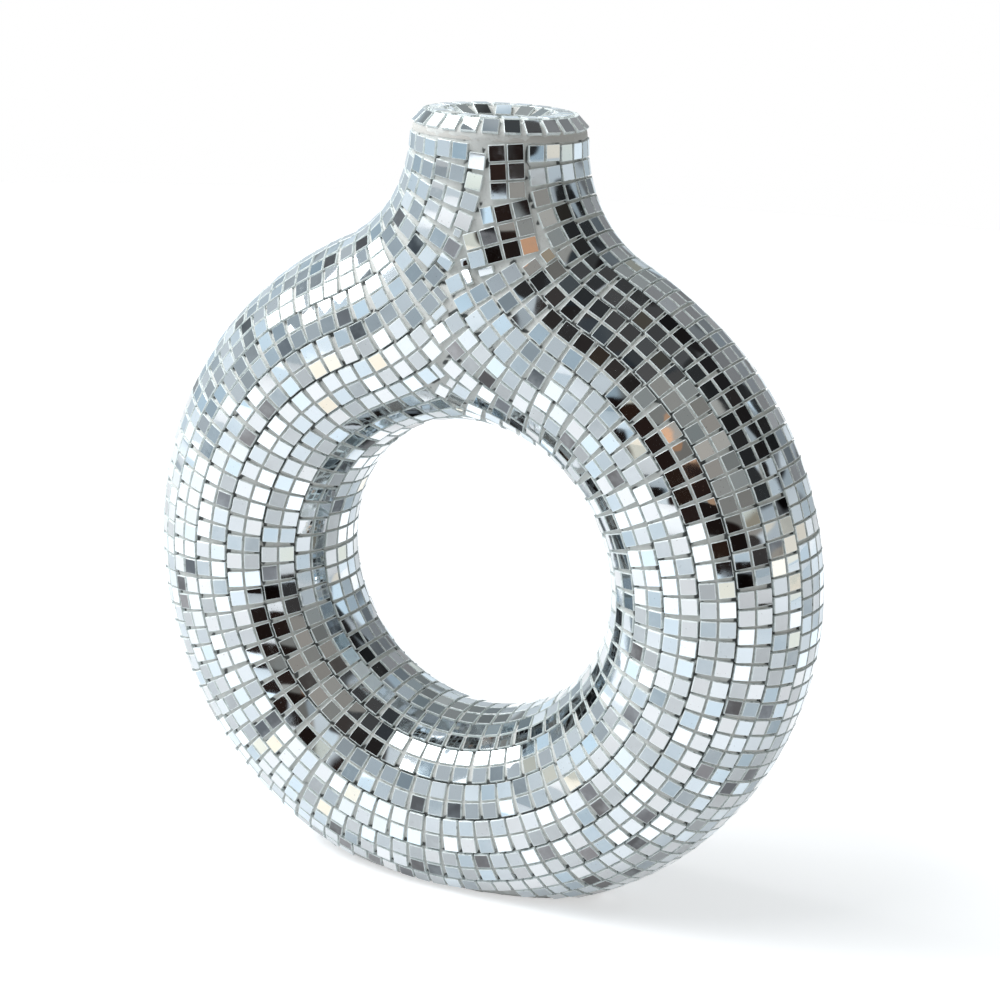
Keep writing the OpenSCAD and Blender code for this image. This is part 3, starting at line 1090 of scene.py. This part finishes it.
class VaseCutSettings(bpy.types.PropertyGroup):
    """Sizes and places of the cut tiles"""

    largest: FloatProperty(
        name="Largest",
        description="Longest side of a cut piece, in mm",
        default=3.04,
        min=1.0,
        max=4.0,
    )
    smallest: FloatProperty(
        name="Smallest",
        description="Shortest side of a cut piece, in mm",
        default=1.4,
        min=0.5,
        max=3.0,
    )
    thickness: FloatProperty(
        name="Thickness",
        description="Thickness of the glass, in mm",
        default=1.0,
        min=0.5,
        max=1.2,
    )
    joint: FloatProperty(
        name="Joint",
        description="Least gap round a cut piece, in mm",
        default=0.22,
        min=0.1,
        max=0.6,
    )
    step: FloatProperty(
        name="Step",
        description="Distance between the places that are tried, in mm",
        default=0.4,
        min=0.2,
        max=2.0,
    )
    reach: FloatProperty(
        name="Reach",
        description="How far to each side of the neck cut pieces lie, in mm",
        default=30.0,
        min=1.0,
        max=60.0,
    )
    low: FloatProperty(
        name="Low",
        description="Height over the floor where cut pieces start, in mm",
        default=94.0,
        min=0.0,
    )
    high: FloatProperty(
        name="High",
        description="Height over the floor where cut pieces end, in mm",
        default=138.0,
        min=0.0,
    )


class VasePadSettings(bpy.types.PropertyGroup):
    """Shape and colour of the felt pad"""

    edge: FloatProperty(
        name="Edge",
        description="Rounding of the pad's edge, in mm",
        default=0.25,
        min=0.05,
        max=0.45,
    )
    colour: FloatVectorProperty(
        name="Felt",
        description="Colour of the felt",
        default=(0.36, 0.36, 0.35),
        size=3,
        subtype="COLOR",
    )


class VaseStageSettings(bpy.types.PropertyGroup):
    """Camera, floor, studio and lamps"""

    turn: FloatProperty(
        name="Turn",
        description="Camera's angle round the vase",
        default=math.radians(24.3),
        subtype="ANGLE",
    )
    rise: FloatProperty(
        name="Rise",
        description="Camera's angle over level",
        default=math.radians(15.9),
        subtype="ANGLE",
    )
    roll: FloatProperty(
        name="Roll",
        description="Camera's tilt in the picture",
        default=math.radians(2.79),
        subtype="ANGLE",
    )
    distance: FloatProperty(
        name="Distance",
        description="Camera to the vase's middle",
        default=0.44363,
        unit="LENGTH",
    )
    lens: FloatProperty(
        name="Lens",
        description="Focal length in mm on a 36 mm sensor",
        default=82.1,
        min=20,
        max=200,
    )
    floor: FloatVectorProperty(
        name="Floor",
        description="Colour of the floor",
        default=(0.72, 0.735, 0.75),
        size=3,
        subtype="COLOR",
    )
    lift: FloatProperty(
        name="Lift",
        description="Light of the floor's own, which turns it white",
        default=0.54,
        min=0.0,
        max=1.0,
    )
    room: FloatVectorProperty(
        name="Room",
        description="Colour of the studio's walls",
        default=(0.75, 0.83, 0.88),
        size=3,
        subtype="COLOR",
    )
    daylight: FloatVectorProperty(
        name="Daylight",
        description="Colour of the light from all round",
        default=(0.9, 0.93, 0.95),
        size=3,
        subtype="COLOR",
    )
    glow: FloatProperty(
        name="Glow",
        description="Brightness of the things round the studio",
        default=1.35,
        min=0.0,
        max=4.0,
    )
    key: FloatProperty(
        name="Key lamp",
        description="Power of the lamp on the left, in watts",
        default=4.4,
        min=0,
    )
    fill: FloatProperty(
        name="Fill lamp",
        description="Power of the lamp over the vase, in watts",
        default=2.8,
        min=0,
    )
    # Seed of the tiles' painted reflections
    seed: IntProperty(
        name="Seed",
        description="Start of the random tones",
        default=7,
        min=0,
    )


SETTINGS = {
    "vase_tiles": VaseTileSettings,
    "vase_cuts": VaseCutSettings,
    "vase_grout": VaseGroutSettings,
    "vase_pad": VasePadSettings,
    "vase_stage": VaseStageSettings,
}


class VASE_OT_finishes(bpy.types.Operator):
    """Makes the materials of the vase"""

    bl_idname = "vase.finishes"
    bl_label = "Make the finishes"

    def execute(self, context):
        scene = context.scene
        mirror_material(scene.vase_tiles)
        edge_material(scene.vase_tiles)
        grout_material(scene.vase_grout)
        shell_material()
        felt_material(scene.vase_pad)
        return {"FINISHED"}


class VASE_OT_shells(bpy.types.Operator):
    """Gives the two moulded halves of the body their finish"""

    bl_idname = "vase.shells"
    bl_label = "Finish the body"

    def execute(self, context):
        for name in SHELLS:
            node = frame["nodes"][name]
            node.data.materials.clear()
            node.data.materials.append(bpy.data.materials["moulded_body"])
        return {"FINISHED"}


class VASE_OT_bands(bpy.types.Operator):
    """Lays the strips of mirror tiles over the ring and the neck"""

    bl_idname = "vase.bands"
    bl_label = "Lay the bands"

    def execute(self, context):
        seed = context.scene.vase_stage.seed
        for k, name in enumerate(BANDS):
            dress_tiles(name, seed + BAND_SEED_STEP * k, context.scene.vase_tiles)
        return {"FINISHED"}


class VASE_OT_neck_strips(bpy.types.Operator):
    """Lays the short strips on the neck"""

    bl_idname = "vase.neck_strips"
    bl_label = "Lay the neck strips"

    def execute(self, context):
        seed = context.scene.vase_stage.seed + NECK_SEED
        for k, name in enumerate(NECK_STRIPS):
            dress_tiles(name, seed + k, context.scene.vase_tiles)
        return {"FINISHED"}


class VASE_OT_mouth_rows(bpy.types.Operator):
    """Lays the rows of tiles round the mouth"""

    bl_idname = "vase.mouth_rows"
    bl_label = "Lay the mouth rows"

    def execute(self, context):
        seed = context.scene.vase_stage.seed + MOUTH_SEED
        for k, name in enumerate(MOUTH_ROWS):
            dress_tiles(name, seed + k, context.scene.vase_tiles)
        return {"FINISHED"}


class VASE_OT_cut_tiles(bpy.types.Operator):
    """Closes the seam over the hole and the gaps beside the neck strips with cut tiles"""

    bl_idname = "vase.cut_tiles"
    bl_label = "Lay the cut tiles"

    def execute(self, context):
        look = context.scene.vase_cuts
        pieces = cut_pieces(body_skin(), look)
        if not pieces:
            raise RuntimeError("no bare spot was found for a cut tile")
        deselect_all()
        bpy.ops.mesh.primitive_cube_add(size=1, calc_uvs=False)
        tiles = context.active_object
        tiles.name = tiles.data.name = CUTS
        blocks = [tiles]
        for _ in pieces[1:]:
            block = tiles.copy()
            block.data = tiles.data.copy()
            context.scene.collection.objects.link(block)
            blocks.append(block)
        for block, (spot, normal, side, across, long, short) in zip(blocks, pieces):
            middle = spot - 0.5 * look.thickness * MM * normal
            turn = Matrix((side, across, normal)).transposed()
            size = (long, short, look.thickness * MM)
            block.matrix_world = Matrix.LocRotScale(middle, turn, size)
            block.select_set(True)
        bpy.ops.object.transform_apply(location=True, rotation=True, scale=True)
        bpy.ops.object.join()
        seed = context.scene.vase_stage.seed + CUT_SEED
        finish_tiles(tiles, seed, context.scene.vase_tiles)
        return {"FINISHED"}


class VASE_OT_grout(bpy.types.Operator):
    """Fills the joints between the tiles with one skin of grout over the body"""

    bl_idname = "vase.grout"
    bl_label = "Fill the joints"

    def execute(self, context):
        look = context.scene.vase_grout
        grout = joined_body("grout")
        cell = look.cell * MM
        apply_modifier(grout, "REMESH", mode="VOXEL", voxel_size=cell, use_smooth_shade=True)
        apply_modifier(grout, "SMOOTH", factor=SMOOTH_FACTOR, iterations=SMOOTH_ROUNDS)
        mark_joints(grout, look)
        rise = look.rise * MM
        apply_modifier(grout, "DISPLACE", strength=rise, mid_level=0.0, vertex_group="rise")
        grout.data.materials.clear()
        grout.data.materials.append(bpy.data.materials["fine_grout"])
        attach(grout, "root")
        return {"FINISHED"}


class VASE_OT_pad(bpy.types.Operator):
    """Makes the felt pad under the base"""

    bl_idname = "vase.pad"
    bl_label = "Make the felt pad"

    def execute(self, context):
        pad = merged_copy(PAD, "felt_pad")
        apply_modifier(
            pad,
            "BEVEL",
            width=context.scene.vase_pad.edge * MM,
            segments=PAD_STEPS,
            limit_method="ANGLE",
            angle_limit=PAD_EDGE,
        )
        only(pad)
        bpy.ops.object.shade_smooth_by_angle(angle=PAD_SHARP)
        pad.data.materials.append(bpy.data.materials["pressed_felt"])
        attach(pad, "root")
        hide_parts(PAD)
        return {"FINISHED"}


class VASE_OT_stage(bpy.types.Operator):
    """Sets up the floor, the studio, the lamps and the camera"""

    bl_idname = "vase.stage"
    bl_label = "Set the stage"

    def execute(self, context):
        look = context.scene.vase_stage
        scene = context.scene
        deselect_all()
        bpy.ops.mesh.primitive_circle_add(
            vertices=FLOOR_CORNERS, radius=FLOOR_RADIUS, fill_type="NGON"
        )
        floor = context.active_object
        floor.name = "studio_floor"
        floor.data.materials.append(floor_material(look))
        scene.world = studio_world(look)
        target = Vector(AIM)
        for name, azimuth, rise, distance, size, power in LAMPS:
            add_lamp(name, azimuth, rise, distance, size, getattr(look, power), target)
        back = facing(math.degrees(look.turn), math.degrees(look.rise))
        right = Vector((0, 0, 1)).cross(back).normalized()
        up = back.cross(right)
        roll_right = math.cos(look.roll) * right + math.sin(look.roll) * up
        roll_up = -math.sin(look.roll) * right + math.cos(look.roll) * up
        turn = Matrix((roll_right, roll_up, back)).transposed()
        bpy.ops.object.camera_add(location=target + back * look.distance)
        camera = context.active_object
        camera.name = "camera"
        camera.rotation_euler = turn.to_euler()
        camera.data.sensor_width = SENSOR_WIDTH
        camera.data.lens = look.lens
        camera.data.shift_x, camera.data.shift_y = SHIFT
        camera.data.clip_start = CLIP_START
        scene.camera = camera
        scene.view_settings.view_transform = "Standard"
        return {"FINISHED"}


class VASE_PT_panel(bpy.types.Panel):
    """Lists the steps that dress the vase"""

    bl_idname = "VASE_PT_panel"
    bl_label = "Mirror Mosaic Vase"
    bl_space_type = "VIEW_3D"
    bl_region_type = "UI"
    bl_category = "Vase"

    def draw(self, context):
        for operator in STEPS:
            self.layout.operator(operator.bl_idname)
        for group, kind in SETTINGS.items():
            box = self.layout.box()
            for name in kind.__annotations__:
                box.prop(getattr(context.scene, group), name)


STEPS = (
    VASE_OT_finishes,
    VASE_OT_shells,
    VASE_OT_bands,
    VASE_OT_neck_strips,
    VASE_OT_mouth_rows,
    VASE_OT_cut_tiles,
    VASE_OT_grout,
    VASE_OT_pad,
    VASE_OT_stage,
)


def register():
    """Makes the operators, the panel and the settings known to Blender."""
    for kind in (*SETTINGS.values(), *STEPS, VASE_PT_panel):
        bpy.utils.register_class(kind)
    for group, kind in SETTINGS.items():
        setattr(bpy.types.Scene, group, PointerProperty(type=kind))


def unregister():
    """Takes them out again."""
    for group in SETTINGS:
        delattr(bpy.types.Scene, group)
    for kind in (VASE_PT_panel, *reversed(STEPS), *reversed(tuple(SETTINGS.values()))):
        bpy.utils.unregister_class(kind)


def main():
    """Dresses the vase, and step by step."""
    register()
    bpy.ops.vase.finishes()
    bpy.ops.vase.shells()
    bpy.ops.vase.bands()
    bpy.ops.vase.neck_strips()
    bpy.ops.vase.mouth_rows()
    bpy.ops.vase.cut_tiles()
    bpy.ops.vase.grout()
    bpy.ops.vase.pad()
    bpy.ops.vase.stage()


if __name__ == "__main__":
    main()
